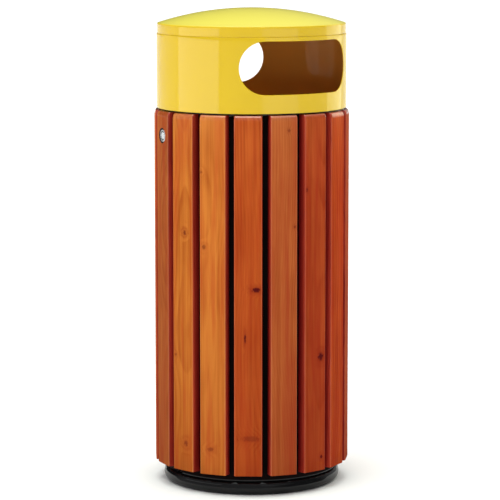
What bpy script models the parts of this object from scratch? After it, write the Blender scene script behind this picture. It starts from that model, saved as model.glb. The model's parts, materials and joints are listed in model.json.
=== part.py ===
"""Slatted litter bin: a steel carcass with a rear door, both clad in wooden slats, under a
domed steel hood with two openings, and a lift-out liner with a bail handle inside.

Metres, +Z up. The origin is on the bin's axis at the floor. A bearing is an angle about +Z
counted from -Y towards +X. Pieces are modelled at bearing 0, where outwards is -Y and a
growing bearing is +X, and are then turned about Z to their own bearing.
"""

from math import atan2, cos, degrees, pi, radians, sin, sqrt

import bmesh
import bpy
from mathutils import Matrix, Vector

# ---------------------------------------------------------------- driving dimensions
STEPS = 56  # facets of a full turn
WELD = 0.00005
GAP = 0.0003  # between pieces that touch

# slats
SLAT_COUNT = 17
SLAT_PITCH = 360 / SLAT_COUNT
SLAT_WIDTH = 0.056
SLAT_THICK = 0.020
SLAT_FACE = 0.198  # axis to the slat's front face
SLAT_LOW = 0.0434
SLAT_TOP = 0.767
SLAT_EDGE = 0.003
SLAT_NOSE_DEEP = 0.0065
SLAT_NOSE_HIGH = 0.011
FIXED_SLATS = 8

# carcass and door: the two are split at the bearings +SPLIT and -SPLIT
SPLIT = SLAT_PITCH * FIXED_SLATS / 2
SHELL_R = 0.1775
SHELL_THICK = 0.002
SHELL_LOW = 0.031
SHELL_TOP = 0.763
SHELL_EDGE = 0.0050  # from the split to the edge of either shell
HOOP_R = 0.1752
HOOP_THICK = 0.004
HOOP_HIGH = 0.030
POST_IN, POST_OUT = 0.1650, 0.1695
POST_BACK, POST_LAP = 0.017, 0.008  # behind the carcass shell, and past the split
STILE_IN, STILE_OUT = 0.1670, 0.1739
STILE_NEAR, STILE_FAR = 0.010, 0.019

# base
BASE_TOP = 0.028
FOOT_LIFT = 0.0030  # the ring's inner part clears the floor by this
LEDGE_Z = 0.009
LEDGE_IN, LEDGE_OUT = 0.150, 0.163
PLATE_THICK = 0.003
DRAIN_R = 0.010
FIXING_R, FIXING_PCR = 0.006, 0.100
FIXING_BEARINGS = (45, 135, 225, 315)
PAD_R, PAD_HIGH, PAD_PCR = 0.014, 0.006, 0.110

# hood
RING_LOW, RING_TOP = 0.7653, 0.7697
RING_IN, RING_OUT = 0.148, 0.177
HOOD_R = 0.1935
HOOD_THICK = 0.002
HOOD_LOW, HOOD_TOP = 0.770, 0.9207
FLANGE_IN = 0.150
SLOT_TURN = 3.5  # bearing of the front opening's middle
SLOT_MID_Z = 0.860
SLOT_HIGH = 0.1052
SLOT_SPAN = 81.4  # degrees from end to end
LID_R = 0.1922
LID_SEAM = 0.9210
LID_SHOULDER = 0.9395
LID_TOP = 0.972
LID_TONGUE = 0.9145
LID_SHOULDER_R = 0.003

# bolts through the top ring and the hood's flange
BOLT_PCR = 0.161
BOLT_BEARINGS = (45, 135, 225, 315)
BOLT_R, BOLT_HOLE_R, BOLT_HEX_R = 0.0040, 0.0045, 0.0073
BOLT_LOW, NUT_LOW = 0.7550, 0.7585
BOLT_SHANK_TOP, BOLT_HEAD_TOP = 0.7760, 0.7778

# hinges
HINGE_R = 0.195
KNUCKLE_R = 0.005
PIN_R, PIN_BORE_R = 0.0030, 0.00315
LEAF_NEAR, LEAF_FAR = 0.0024, 0.0044
LEAF_HIGH = 0.090
LEAF_CLEAR = 0.0015  # between a knuckle and the other leaf
KNUCKLE_PLAY = 0.0004
PIN_HEAD_R, PIN_HEAD_TIP_R = 0.0042, 0.0034
HINGE_Z = {"lower": 0.150, "upper": 0.560}

# lock
LOCK_BEARING = -(SPLIT + SLAT_PITCH / 2)
LOCK_Z = 0.718
RECESS_R, RECESS_DEEP = 0.0150, 0.0040
BARREL_R = 0.0090
BARREL_HEAD_R, BARREL_HEAD_HIGH = 0.0125, 0.0028
PLUG_R, PLUG_BORE_R, PLUG_HIGH = 0.0068, 0.0070, 0.0022
KEYWAY_WIDE, KEYWAY_HIGH, KEYWAY_DEEP = 0.0018, 0.0070, 0.0040
NUT_R, NUT_IN, NUT_OUT = 0.0118, 0.1698, 0.1747
CAM_IN, CAM_OUT = 0.1620, 0.1644
CAM_LONG, CAM_WIDE, CAM_HUB_R = 0.020, 0.009, 0.0080
THREAD_R, CAM_SCREW_R, CAM_SCREW_HEAD_R = 0.0026, 0.0022, 0.0045
KEEPER_THICK = 0.003
KEEPER_LOW, KEEPER_POCKET, KEEPER_TIP = 0.6760, 0.6945, 0.7055  # heights

# liner and bail
LINER_LOW, LINER_TOP = 0.019, 0.645
LINER_R_LOW, LINER_R_TOP = 0.148, 0.156
LINER_THICK = 0.0012
BEAD_R = 0.003
BAIL_R, BAIL_WIRE_R = 0.146, 0.003
GRIP_R, GRIP_HALF = 0.010, 0.052
GRIP_Y = sqrt(BAIL_R**2 - GRIP_HALF**2)
BAIL_Z = LINER_TOP + 0.0004 + GRIP_R
EAR_IN, EAR_OUT, EAR_WIDE = 0.1503, 0.1528, 0.026
EAR_LOW, EAR_BORE_R = 0.600, 0.0034
WIRE_PAST_EAR = 0.0055
GRIP_BORE_R = BAIL_WIRE_R + 0.0006

# ---------------------------------------------------------------- scene and helpers
for leftover in list(bpy.data.objects):
    bpy.data.objects.remove(leftover)

parts = bpy.data.collections.new("litter_bin")
cutters = bpy.data.collections.new("cutters")
bpy.context.scene.collection.children.link(parts)
bpy.context.scene.collection.children.link(cutters)


def material(name, colour, roughness, metallic=0.0):
    made = bpy.data.materials.new(name)
    made.use_nodes = True
    shader = made.node_tree.nodes["Principled BSDF"]
    shader.inputs["Base Color"].default_value = (*colour, 1)
    shader.inputs["Roughness"].default_value = roughness
    shader.inputs["Metallic"].default_value = metallic
    made.diffuse_color = (*colour, 1)
    return made


WOOD = material("stained_wood", (0.42, 0.13, 0.03), 0.4)
YELLOW = material("yellow_coat", (0.80, 0.55, 0.04), 0.2)
BLACK = material("black_coat", (0.02, 0.02, 0.022), 0.35)
GALVANISED = material("galvanised_steel", (0.55, 0.57, 0.58), 0.4, 1.0)
STEEL = material("zinc_steel", (0.6, 0.6, 0.6), 0.3, 1.0)
CHROME = material("lock_chrome", (0.8, 0.8, 0.8), 0.1, 1.0)
RUBBER = material("black_rubber", (0.015, 0.015, 0.015), 0.8)
GRIP = material("grip_plastic", (0.03, 0.03, 0.03), 0.5)


def add(name, data, bearing=0.0, coat=None):
    """An object of the bin, or a cutter where it has no material, turned to its bearing."""
    made = bpy.data.objects.new(name, data)
    made.rotation_euler.z = radians(bearing)
    if coat is None:
        cutters.objects.link(made)
        made.hide_render = True
        made.display_type = "WIRE"
    else:
        parts.objects.link(made)
        if not data.materials:
            data.materials.append(coat)
    return made


def mesh_from(name, bm, smooth=True):
    data = bpy.data.meshes.new(name)
    bm.to_mesh(data)
    bm.free()
    if smooth:
        data.shade_smooth()
        data.set_sharp_from_angle(angle=radians(30))
    return data


def box_mesh(name, low, high):
    low, high = Vector(low), Vector(high)
    bm = bmesh.new()
    bmesh.ops.create_cube(bm, size=1)
    bmesh.ops.scale(bm, vec=high - low, verts=bm.verts)
    bmesh.ops.translate(bm, vec=(high + low) / 2, verts=bm.verts)
    return mesh_from(name, bm, smooth=False)


def rod_mesh(name, radius, start, end, sides=24):
    """A cylinder between two points, or a hexagon bar where it has six sides."""
    start, end = Vector(start), Vector(end)
    along = end - start
    turn = Vector((0, 0, 1)).rotation_difference(along).to_matrix().to_4x4()
    bm = bmesh.new()
    bmesh.ops.create_cone(
        bm,
        cap_ends=True,
        segments=sides,
        radius1=radius,
        radius2=radius,
        depth=along.length,
        matrix=Matrix.Translation((start + end) / 2) @ turn,
    )
    return mesh_from(name, bm)


def boolean(target, operation, *others):
    for other in others:
        step = target.modifiers.new(f"{operation.lower()}_{other.name}", "BOOLEAN")
        step.operation = operation
        step.solver = "EXACT"
        step.object = other


def turned(name, outline, coat, steps=STEPS, closed=True):
    """A profile of (radius, height) points, outer side first and running down, about Z."""
    bm = bmesh.new()
    points = [bm.verts.new((radius, 0, height)) for radius, height in outline]
    pairs = list(zip(points, points[1:]))
    if closed:
        pairs.append((points[-1], points[0]))
    for pair in pairs:
        bm.edges.new(pair)
    made = add(name, mesh_from(name, bm), coat=coat)
    screw = made.modifiers.new("turn", "SCREW")
    screw.steps = screw.render_steps = steps
    screw.use_merge_vertices = True
    screw.merge_threshold = WELD
    screw.use_smooth_shade = True
    return made


def curved_sheet(name, radius, thick, low, high, start, end, coat):
    """Rolled sheet or bar: an arc between two bearings, its outer face at the radius."""
    bm = bmesh.new()
    ends = [bm.verts.new((radius, 0, height)) for height in (high, low)]
    bm.edges.new(ends)
    made = add(name, mesh_from(name, bm), bearing=start - 90, coat=coat)
    screw = made.modifiers.new("roll", "SCREW")
    screw.angle = radians(end - start)
    screw.steps = screw.render_steps = max(2, round((end - start) / 360 * STEPS))
    screw.use_merge_vertices = False
    screw.merge_threshold = WELD
    wall = made.modifiers.new("wall", "SOLIDIFY")
    wall.thickness = thick
    wall.offset = -1
    wall.use_even_offset = True
    return made


def arc(centre, radius, start, end, count):
    """Points of a profile on a circle, from one angle to another in degrees."""
    turns = [radians(start + (end - start) * i / count) for i in range(count + 1)]
    return [(centre[0] + radius * cos(a), centre[1] + radius * sin(a)) for a in turns]


def ring_of_holes(name, radius, circle, low, high, bearings):
    return [
        add(f"{name}_{i}", rod_mesh(name, radius, (0, -circle, low), (0, -circle, high), 16), at)
        for i, at in enumerate(bearings, 1)
    ]


# ---------------------------------------------------------------- base
def make_base():
    bulge = [
        (0.1700, BASE_TOP),
        (0.1740, 0.0272),
        (0.1772, 0.0248),
        (0.1796, 0.0205),
        (0.1810, 0.0140),
        (0.1800, 0.0080),
        (0.1764, 0.0030),
        (0.1705, 0.0),
    ]
    underside = [(0.1640, 0.0), (0.1600, FOOT_LIFT), (LEDGE_IN, FOOT_LIFT)]
    ledge = [(LEDGE_IN, LEDGE_Z), (LEDGE_OUT, LEDGE_Z), (LEDGE_OUT, BASE_TOP)]
    turned("base_ring", bulge + underside + ledge, BLACK)

    low = LEDGE_Z + GAP
    top = low + PLATE_THICK
    rim = LEDGE_OUT - GAP
    plate = turned("base_plate", [(DRAIN_R, top), (rim, top), (rim, low), (DRAIN_R, low)], STEEL)
    holes = ring_of_holes("fixing_hole", FIXING_R, FIXING_PCR, 0, BASE_TOP, FIXING_BEARINGS)
    boolean(plate, "DIFFERENCE", *holes)

    pad = rod_mesh("pad", PAD_R, (0, -PAD_PCR, top + GAP), (0, -PAD_PCR, top + PAD_HIGH), 20)
    for number, bearing in enumerate((0, 120, 240), 1):
        add(f"liner_pad_{number}", pad, bearing, RUBBER)


# ---------------------------------------------------------------- carcass and door frames
def across_split(name, side, near, far, inner, outer, low, high, coat):
    """An upright bar at a split. near and far count from the split towards the door."""
    span = sorted((side * near, side * far))
    data = box_mesh(name, (span[0], -outer, low), (span[1], -inner, high))
    return add(name, data, side * SPLIT, coat)


def make_frames():
    edge = SHELL_EDGE / SHELL_R * 180 / pi
    spans = {
        "carcass": (-SPLIT + edge, SPLIT - edge),
        "door": (SPLIT + edge, 360 - SPLIT - edge),
    }
    lows = {"carcass": BASE_TOP + GAP, "door": SHELL_LOW}
    shells = {}
    for frame, (start, end) in spans.items():
        shells[frame] = curved_sheet(
            f"{frame}_shell", SHELL_R, SHELL_THICK, SHELL_LOW, SHELL_TOP, start, end, BLACK
        )
        levels = {
            "lower": (lows[frame], SHELL_LOW + HOOP_HIGH),
            "upper": (SHELL_TOP - HOOP_HIGH, SHELL_TOP),
        }
        for level, (low, high) in levels.items():
            name = f"{frame}_hoop_{level}"
            curved_sheet(name, HOOP_R, HOOP_THICK, low, high, start, end, BLACK)

    for side, place in ((1, "hinge"), (-1, "lock")):
        across_split(
            f"carcass_post_{place}", side, -POST_BACK, POST_LAP, POST_IN, POST_OUT,
            BASE_TOP + GAP, RING_LOW - GAP, BLACK,
        )
        across_split(
            f"door_stile_{place}", side, STILE_NEAR, STILE_FAR, STILE_IN, STILE_OUT,
            SHELL_LOW + HOOP_HIGH + GAP, SHELL_TOP - HOOP_HIGH - GAP, BLACK,
        )
    return shells


# ---------------------------------------------------------------- slats
def slat_mesh():
    """A planed slat: rounded front arrises and a deeper rounded nose at its top front edge."""
    front, back = -SLAT_FACE, SLAT_THICK - SLAT_FACE
    half = SLAT_WIDTH / 2
    bm = bmesh.new()
    bmesh.ops.create_cube(bm, size=1)
    bmesh.ops.scale(bm, vec=(SLAT_WIDTH, SLAT_THICK, SLAT_TOP - SLAT_LOW), verts=bm.verts)
    middle = (0, (front + back) / 2, (SLAT_TOP + SLAT_LOW) / 2)
    bmesh.ops.translate(bm, vec=middle, verts=bm.verts)

    def on(edge, axis, value):
        return all(abs(v.co[axis] - value) < 1e-6 for v in edge.verts)

    nose = [e for e in bm.edges if on(e, 1, front) and on(e, 2, SLAT_TOP)]
    bmesh.ops.bevel(bm, geom=nose, offset=SLAT_NOSE_DEEP, segments=3, profile=0.5, affect="EDGES")
    for vert in bm.verts:
        drop = SLAT_TOP - vert.co.z
        if drop < SLAT_NOSE_DEEP + 1e-6:
            vert.co.z = SLAT_TOP - drop * SLAT_NOSE_HIGH / SLAT_NOSE_DEEP
    arris = [
        e
        for e in bm.edges
        if (on(e, 0, half) or on(e, 0, -half))
        and not on(e, 1, back)
        and not on(e, 2, SLAT_TOP)
        and not on(e, 2, SLAT_LOW)
    ]
    bmesh.ops.bevel(bm, geom=arris, offset=SLAT_EDGE, segments=2, profile=0.5, affect="EDGES")
    return mesh_from("slat", bm)


def make_slats():
    data = slat_mesh()
    slats = []
    for index in range(SLAT_COUNT):
        bearing = -SPLIT + SLAT_PITCH * (index + 0.5)
        fixed = index < FIXED_SLATS
        number = index + 1 if fixed else index + 1 - FIXED_SLATS
        owner = "carcass" if fixed else "door"
        slats.append(add(f"{owner}_slat_{number}", data, bearing, WOOD))
    return slats


# ---------------------------------------------------------------- hood
def slot_cutters(bearing):
    """A curved block and a radial cylinder at each of its ends make a slot with round ends."""
    end_r = SLOT_HIGH / 2
    to_end = SLOT_SPAN / 2 - end_r / HOOD_R * 180 / pi
    low, high = SLOT_MID_Z - end_r, SLOT_MID_Z + end_r
    reach = HOOD_R + 0.01
    block = curved_sheet(
        "slot_block", reach, 0.02, low, high, bearing - to_end, bearing + to_end, None
    )
    made = [block]
    for side in (-1, 1):
        data = rod_mesh("slot_end", end_r, (0, -reach, SLOT_MID_Z), (0, -0.16, SLOT_MID_Z), 32)
        made.append(add("slot_end", data, bearing + side * to_end))
    return made


def make_hood():
    inner = HOOD_R - HOOD_THICK
    wall = [(HOOD_R, HOOD_TOP), (HOOD_R, HOOD_LOW), (inner, HOOD_LOW), (inner, HOOD_TOP)]
    shell = turned("hood_shell", wall, YELLOW)
    for bearing in (SLOT_TURN, SLOT_TURN + 180):
        boolean(shell, "DIFFERENCE", *slot_cutters(bearing))

    ring = [
        (RING_OUT, RING_TOP), (RING_OUT, RING_LOW), (RING_IN, RING_LOW), (RING_IN, RING_TOP),
    ]
    top_ring = turned("top_ring", ring, BLACK)
    low, high = HOOD_LOW, HOOD_LOW + HOOD_THICK
    rim = inner - GAP
    outline = [(rim, high), (rim, low), (FLANGE_IN, low), (FLANGE_IN, high)]
    flange = turned("hood_flange", outline, YELLOW)
    drill = (BOLT_LOW, BOLT_HEAD_TOP + 0.01)
    holes = ring_of_holes("bolt_hole", BOLT_HOLE_R, BOLT_PCR, *drill, BOLT_BEARINGS)
    boolean(top_ring, "DIFFERENCE", *holes)
    boolean(flange, "DIFFERENCE", *holes)

    def on_circle(height):
        return (0, -BOLT_PCR, height)

    shank = rod_mesh("hood_bolt", BOLT_R, on_circle(BOLT_LOW), on_circle(BOLT_SHANK_TOP), 12)
    head = rod_mesh("bolt_head", BOLT_HEX_R, on_circle(high + GAP), on_circle(BOLT_HEAD_TOP), 6)
    nut = rod_mesh("bolt_nut", BOLT_HEX_R, on_circle(NUT_LOW), on_circle(RING_LOW - GAP), 6)
    for number, bearing in enumerate(BOLT_BEARINGS, 1):
        bolt = add(f"hood_bolt_{number}", shank, bearing, STEEL)
        boolean(bolt, "UNION", add("bolt_head", head, bearing), add("bolt_nut", nut, bearing))


def make_lid():
    """A pressed dome with a short skirt, joggled in below so that it plugs into the hood."""
    reach = LID_R - LID_SHOULDER_R
    rise = LID_TOP - (LID_SHOULDER + LID_SHOULDER_R)
    dome_r = (reach**2 + rise**2) / (2 * rise)
    lift = LID_TOP - dome_r

    def dome(radius, offset, count):
        outward = [radius * i / count for i in range(count + 1)]
        return [(r, lift + sqrt((dome_r - offset) ** 2 - r**2)) for r in outward]

    thick = HOOD_THICK
    tongue_r = HOOD_R - HOOD_THICK - GAP
    outer = dome(reach - 0.0005, 0, 7)
    shoulder = arc((reach, LID_SHOULDER), LID_SHOULDER_R, 60, 0, 2)
    skirt = [(LID_R, LID_SEAM), (tongue_r, LID_SEAM), (tongue_r, LID_TONGUE)]
    inside = [
        (tongue_r - thick, LID_TONGUE),
        (tongue_r - thick, LID_SEAM + 0.001),
        (LID_R - thick, LID_SEAM + 0.003),
        (LID_R - thick, LID_SHOULDER - 0.001),
    ]
    ceiling = list(reversed(dome(LID_R - thick - 0.002, thick, 5)))
    turned("hood_lid", outer + shoulder + skirt + inside + ceiling, YELLOW, closed=False)


# ---------------------------------------------------------------- hinges
def make_hinges():
    """Butt hinges: two knuckles on the carcass leaf, one on the door leaf between them."""
    third = LEAF_HIGH / 3
    clear = KNUCKLE_R + LEAF_CLEAR
    play = KNUCKLE_PLAY
    axis_y = -HINGE_R
    for place, low in HINGE_Z.items():
        owned = {
            "carcass": ((low, low + third - play), (low + 2 * third + play, low + LEAF_HIGH)),
            "door": ((low + third + play, low + 2 * third - play),),
        }
        for owner, stretches in owned.items():
            side = -1 if owner == "carcass" else 1
            across = sorted((side * LEAF_NEAR, side * LEAF_FAR))
            inner = POST_OUT + GAP if owner == "carcass" else POST_OUT + 0.002
            plate = box_mesh(
                "leaf", (across[0], axis_y + clear, low), (across[1], -inner, low + LEAF_HIGH)
            )
            leaf = add(f"hinge_leaf_{owner}_{place}", plate, SPLIT, STEEL)
            for bottom, top in stretches:
                tab = box_mesh(
                    "leaf_tab", (across[0], axis_y, bottom), (across[1], axis_y + clear + 0.002, top)
                )
                knuckle = rod_mesh("knuckle", KNUCKLE_R, (0, axis_y, bottom), (0, axis_y, top))
                boolean(leaf, "UNION", add("leaf_tab", tab, SPLIT), add("knuckle", knuckle, SPLIT))
            bore = rod_mesh(
                "pin_bore", PIN_BORE_R, (0, axis_y, low - 0.01), (0, axis_y, low + LEAF_HIGH + 0.01)
            )
            boolean(leaf, "DIFFERENCE", add("pin_bore", bore, SPLIT))
        top = low + LEAF_HIGH + GAP
        pin = [(0.0, top + 0.0020), (PIN_HEAD_TIP_R, top + 0.0020), (PIN_HEAD_R, top + 0.0012)]
        pin += [(PIN_HEAD_R, top), (PIN_R, top), (PIN_R, low - 0.0015), (0.0, low - 0.0015)]
        made = turned(f"hinge_pin_{place}", pin, STEEL, steps=24, closed=False)
        made.rotation_euler.z = radians(SPLIT - 90)
        made.location = (HINGE_R * sin(radians(SPLIT)), -HINGE_R * cos(radians(SPLIT)), 0)


# ---------------------------------------------------------------- lock
def make_lock(lock_slat, door_shell):
    def rod(name, radius, inner, outer, coat=None, sides=32):
        data = rod_mesh(name, radius, (0, -inner, LOCK_Z), (0, -outer, LOCK_Z), sides)
        return add(name, data, LOCK_BEARING, coat)

    floor = SLAT_FACE - RECESS_DEEP
    recess = rod("lock_recess", RECESS_R, floor, SLAT_FACE + 0.01)
    slat_bore = rod("lock_bore", BARREL_R + GAP, 0.160, SLAT_FACE + 0.01)
    boolean(lock_slat, "DIFFERENCE", recess, slat_bore)
    boolean(door_shell, "DIFFERENCE", rod("shell_bore", BARREL_R + GAP, 0.160, 0.185))

    back = CAM_OUT + 2 * GAP
    barrel = rod("lock_barrel", BARREL_R, back + 0.001, floor + 0.001, CHROME)
    head = rod("barrel_head", BARREL_HEAD_R, floor + GAP, floor + BARREL_HEAD_HIGH)
    boolean(barrel, "UNION", head)
    boolean(barrel, "DIFFERENCE", rod("plug_bore", PLUG_BORE_R, 0.15, 0.21))

    nut = rod("lock_nut", NUT_R, NUT_IN, NUT_OUT, STEEL, sides=6)
    boolean(nut, "DIFFERENCE", rod("nut_bore", BARREL_R + GAP, 0.15, 0.19))

    plug = rod("lock_plug", PLUG_R, back, floor + PLUG_HIGH, CHROME)
    key = box_mesh(
        "keyway",
        (-KEYWAY_WIDE / 2, -(SLAT_FACE + 0.01), LOCK_Z - KEYWAY_HIGH / 2),
        (KEYWAY_WIDE / 2, -(floor - KEYWAY_DEEP), LOCK_Z + KEYWAY_HIGH / 2),
    )
    thread = rod("cam_thread", THREAD_R, 0.15, back + 0.007, sides=12)
    boolean(plug, "DIFFERENCE", add("keyway", key, LOCK_BEARING), thread)

    # The cam lies towards the carcass post when unlocked, which is +X at bearing 0.
    arm = box_mesh(
        "cam_arm",
        (0, -CAM_OUT, LOCK_Z - CAM_WIDE / 2),
        (CAM_LONG, -CAM_IN, LOCK_Z + CAM_WIDE / 2),
    )
    cam = rod("lock_cam", CAM_HUB_R, CAM_IN, CAM_OUT, STEEL, 24)
    boolean(cam, "UNION", add("cam_arm", arm, LOCK_BEARING))
    boolean(cam, "DIFFERENCE", rod("cam_bore", THREAD_R, 0.15, 0.18, sides=12))

    screw = rod("cam_screw", CAM_SCREW_R, CAM_IN - 0.001, back + 0.005, STEEL, 12)
    head = rod("screw_head", CAM_SCREW_HEAD_R, CAM_IN - 0.0026, CAM_IN - GAP, sides=16)
    boolean(screw, "UNION", head)

    # The keeper: a tab on the post, and a bar under the lock with its far end turned up.
    outer, inner = POST_IN - GAP, POST_IN - GAP - KEEPER_THICK
    low, pocket, tip = KEEPER_LOW, KEEPER_POCKET, KEEPER_TIP
    tab = box_mesh("keeper", (-0.016, -outer, low), (0.010, -inner, pocket))
    keeper = add("lock_keeper", tab, -SPLIT, STEEL)
    bar = box_mesh("keeper_bar", (-0.0135, -outer, low + 0.0005), (0.019, -inner, pocket - 0.0005))
    hook = box_mesh("keeper_hook", (-0.0140, -outer, low + 0.004), (-0.0070, -inner, tip))
    for name, piece in (("keeper_bar", bar), ("keeper_hook", hook)):
        boolean(keeper, "UNION", add(name, piece, LOCK_BEARING))


# ---------------------------------------------------------------- liner and bail
def make_liner():
    """A tapered bucket with a flat floor and a rolled bead at its rim, and its two ears."""
    thick = LINER_THICK
    floor = LINER_LOW + thick
    neck = LINER_TOP - 2 * BEAD_R
    inside = [(0.0, floor), (LINER_R_LOW - thick, floor), (LINER_R_TOP - thick, neck)]
    bead = arc((LINER_R_TOP + BEAD_R - thick, LINER_TOP - BEAD_R), BEAD_R, 165, -135, 7)
    outside = [(LINER_R_TOP, neck - 0.001), (LINER_R_LOW, LINER_LOW), (0.0, LINER_LOW)]
    turned("liner_bucket", inside + bead + outside, GALVANISED, closed=False)

    for side, place in ((1, "right"), (-1, "left")):
        across = sorted((side * EAR_IN, side * EAR_OUT))
        half = EAR_WIDE / 2
        data = box_mesh("ear", (across[0], -half, EAR_LOW), (across[1], half, BAIL_Z))
        ear = add(f"liner_ear_{place}", data, coat=GALVANISED)
        centre = [(x, 0, BAIL_Z) for x in across]
        boolean(ear, "UNION", add("ear_round", rod_mesh("ear_round", half, *centre, 24)))
        reach = [(side * x, 0, BAIL_Z) for x in (EAR_IN - 0.01, EAR_OUT + 0.01)]
        boolean(ear, "DIFFERENCE", add("ear_bore", rod_mesh("ear_bore", EAR_BORE_R, *reach, 16)))


def bail_path():
    """Out of each ear, round a near half circle, and straight across at the grip."""
    start = 6.0
    last = degrees(atan2(GRIP_Y, GRIP_HALF))
    side = arc((0, 0), BAIL_R, start, last, 12)
    ends = [(EAR_OUT + WIRE_PAST_EAR, 0.0), (EAR_IN - 0.0025, 0.0), (BAIL_R - 0.0001, 0.0045)]
    half = ends + side
    return half + [(-x, y) for x, y in reversed(half)]


def make_bail():
    points = bail_path()
    curve = bpy.data.curves.new("bail_wire", "CURVE")
    curve.dimensions = "3D"
    curve.bevel_depth = BAIL_WIRE_R
    curve.bevel_resolution = 2
    curve.use_fill_caps = True
    spline = curve.splines.new("POLY")
    spline.points.add(len(points) - 1)
    for point, (x, y) in zip(spline.points, points):
        point.co = (x, y, BAIL_Z, 1)
    add("bail_wire", curve, coat=STEEL)

    ends = [(x, GRIP_Y, BAIL_Z) for x in (-GRIP_HALF, GRIP_HALF)]
    grip = add("bail_grip", rod_mesh("bail_grip", GRIP_R, *ends, 20), coat=GRIP)
    wide = [(x * 1.2, GRIP_Y, BAIL_Z) for x in (-GRIP_HALF, GRIP_HALF)]
    bore = add("grip_bore", rod_mesh("grip_bore", GRIP_BORE_R, *wide, 12))
    boolean(grip, "DIFFERENCE", bore)


# ---------------------------------------------------------------- joints
def pivot(name, place, members, parent=None):
    """An empty on a joint's axis, which carries the pieces that move with it."""
    made = bpy.data.objects.new(name, None)
    made.location = place
    parts.objects.link(made)
    bpy.context.view_layer.update()
    for member in members:
        member.parent = made
        member.matrix_parent_inverse = made.matrix_world.inverted()
    if parent is not None:
        made.parent = parent
        made.matrix_parent_inverse = parent.matrix_world.inverted()
    return made


def members(*starts):
    return [o for o in parts.objects if o.name.startswith(starts) and o.type != "EMPTY"]


make_base()
shells = make_frames()
slats = make_slats()
make_hood()
make_lid()
make_hinges()
make_lock(slats[-1], shells["door"])
make_liner()
make_bail()

hinge_axis = Matrix.Rotation(radians(SPLIT), 3, "Z") @ Vector((0, -HINGE_R, 0))
lock_axis = Matrix.Rotation(radians(LOCK_BEARING), 3, "Z") @ Vector((0, -CAM_IN, 0))
lock_axis.z = LOCK_Z
door_pivot = pivot(
    "door_pivot", hinge_axis, members("door_", "hinge_leaf_door", "lock_barrel", "lock_nut")
)
pivot("lock_pivot", lock_axis, members("lock_plug", "lock_cam", "cam_screw"), door_pivot)
liner_pivot = pivot("liner_pivot", (0, 0, LINER_LOW), members("liner_bucket", "liner_ear"))
pivot("bail_pivot", (0, 0, BAIL_Z), members("bail_"), liner_pivot)
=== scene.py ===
import json
from math import atan2, ceil, cos, degrees, pi, radians, sin, sqrt

import bmesh
import bpy
from mathutils import Matrix, Vector


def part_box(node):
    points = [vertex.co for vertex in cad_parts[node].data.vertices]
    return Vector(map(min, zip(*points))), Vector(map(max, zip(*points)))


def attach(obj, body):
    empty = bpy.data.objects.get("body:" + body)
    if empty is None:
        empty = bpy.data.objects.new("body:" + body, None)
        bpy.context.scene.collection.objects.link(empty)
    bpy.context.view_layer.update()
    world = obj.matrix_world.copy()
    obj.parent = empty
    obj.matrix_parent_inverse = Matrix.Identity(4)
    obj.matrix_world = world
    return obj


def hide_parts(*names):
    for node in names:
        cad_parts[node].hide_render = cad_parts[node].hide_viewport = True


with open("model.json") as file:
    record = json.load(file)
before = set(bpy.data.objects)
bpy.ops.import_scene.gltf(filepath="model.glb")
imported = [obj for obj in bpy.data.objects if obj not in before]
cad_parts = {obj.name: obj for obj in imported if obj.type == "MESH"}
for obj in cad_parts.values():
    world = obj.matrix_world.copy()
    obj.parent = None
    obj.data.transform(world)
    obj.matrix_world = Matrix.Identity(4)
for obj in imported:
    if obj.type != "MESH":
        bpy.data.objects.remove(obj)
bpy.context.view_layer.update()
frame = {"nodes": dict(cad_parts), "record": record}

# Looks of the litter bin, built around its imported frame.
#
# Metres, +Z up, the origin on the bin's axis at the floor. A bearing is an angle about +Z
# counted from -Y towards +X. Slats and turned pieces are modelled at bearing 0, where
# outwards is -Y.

nodes = frame["nodes"]
owner_of = {n: body for body, names in frame["record"]["behaviour"]["bodies"].items() for n in names}
scene = bpy.context.scene

# ---------------------------------------------------------------- camera
CAMERA_TURN = -29.8  # degrees about Z, from looking along +Y
CAMERA_AWAY = 5.1
CAMERA_HIGH = 1.1768
CAMERA_PITCH = 7.159  # degrees below level
CAMERA_LENS, CAMERA_SENSOR = 180.03, 36.0
CAMERA_SHIFT = (-0.003, -0.06)


def make_camera():
    data = bpy.data.cameras.new("camera")
    data.lens = CAMERA_LENS
    data.sensor_width = CAMERA_SENSOR
    data.shift_x, data.shift_y = CAMERA_SHIFT
    data.clip_end = 200.0
    camera = bpy.data.objects.new("camera", data)
    turn = radians(CAMERA_TURN)
    camera.location = (CAMERA_AWAY * sin(turn), -CAMERA_AWAY * cos(turn), CAMERA_HIGH)
    camera.rotation_euler = (radians(90 - CAMERA_PITCH), 0, turn)
    scene.collection.objects.link(camera)
    scene.camera = camera


make_camera()

# ---------------------------------------------------------------- sizes, as in the frame
SLAT_COUNT = 17
SLAT_PITCH = 360 / SLAT_COUNT
FIXED_SLATS = 8
SPLIT = SLAT_PITCH * FIXED_SLATS / 2
SLAT_WIDTH = 0.056
SLAT_FACE = 0.198
SLAT_THICK = 0.020
SLAT_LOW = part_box("carcass_slat_4")[0].z
SLAT_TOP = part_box("carcass_slat_4")[1].z
NOSE_DEEP, NOSE_HIGH = 0.0065, 0.011
ARRIS_R, BACK_ARRIS_R = 0.0036, 0.0012
FOOT_CHAMFER = 0.0006
SHELL_R, SHELL_THICK = 0.1775, 0.002
HOOP_R, HOOP_THICK = 0.1752, 0.004
SHELL_EDGE = 0.005
HOOD_R = 0.1935
HOOD_THICK = 0.002
SLOT_TURN, SLOT_MID_Z, SLOT_HIGH, SLOT_SPAN = 3.5, 0.860, 0.1052, 81.4
LID_R, LID_SEAM, LID_SHOULDER, LID_TONGUE = 0.1922, 0.9210, 0.9395, 0.9145
LID_SHOULDER_R, LID_FIT = 0.003, 0.0003
LID_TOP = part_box("hood_lid")[1].z
DIAGONALS = (45, 135, 225, 315)  # bearings of the hood's bolts and of the base plate's holes
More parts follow.
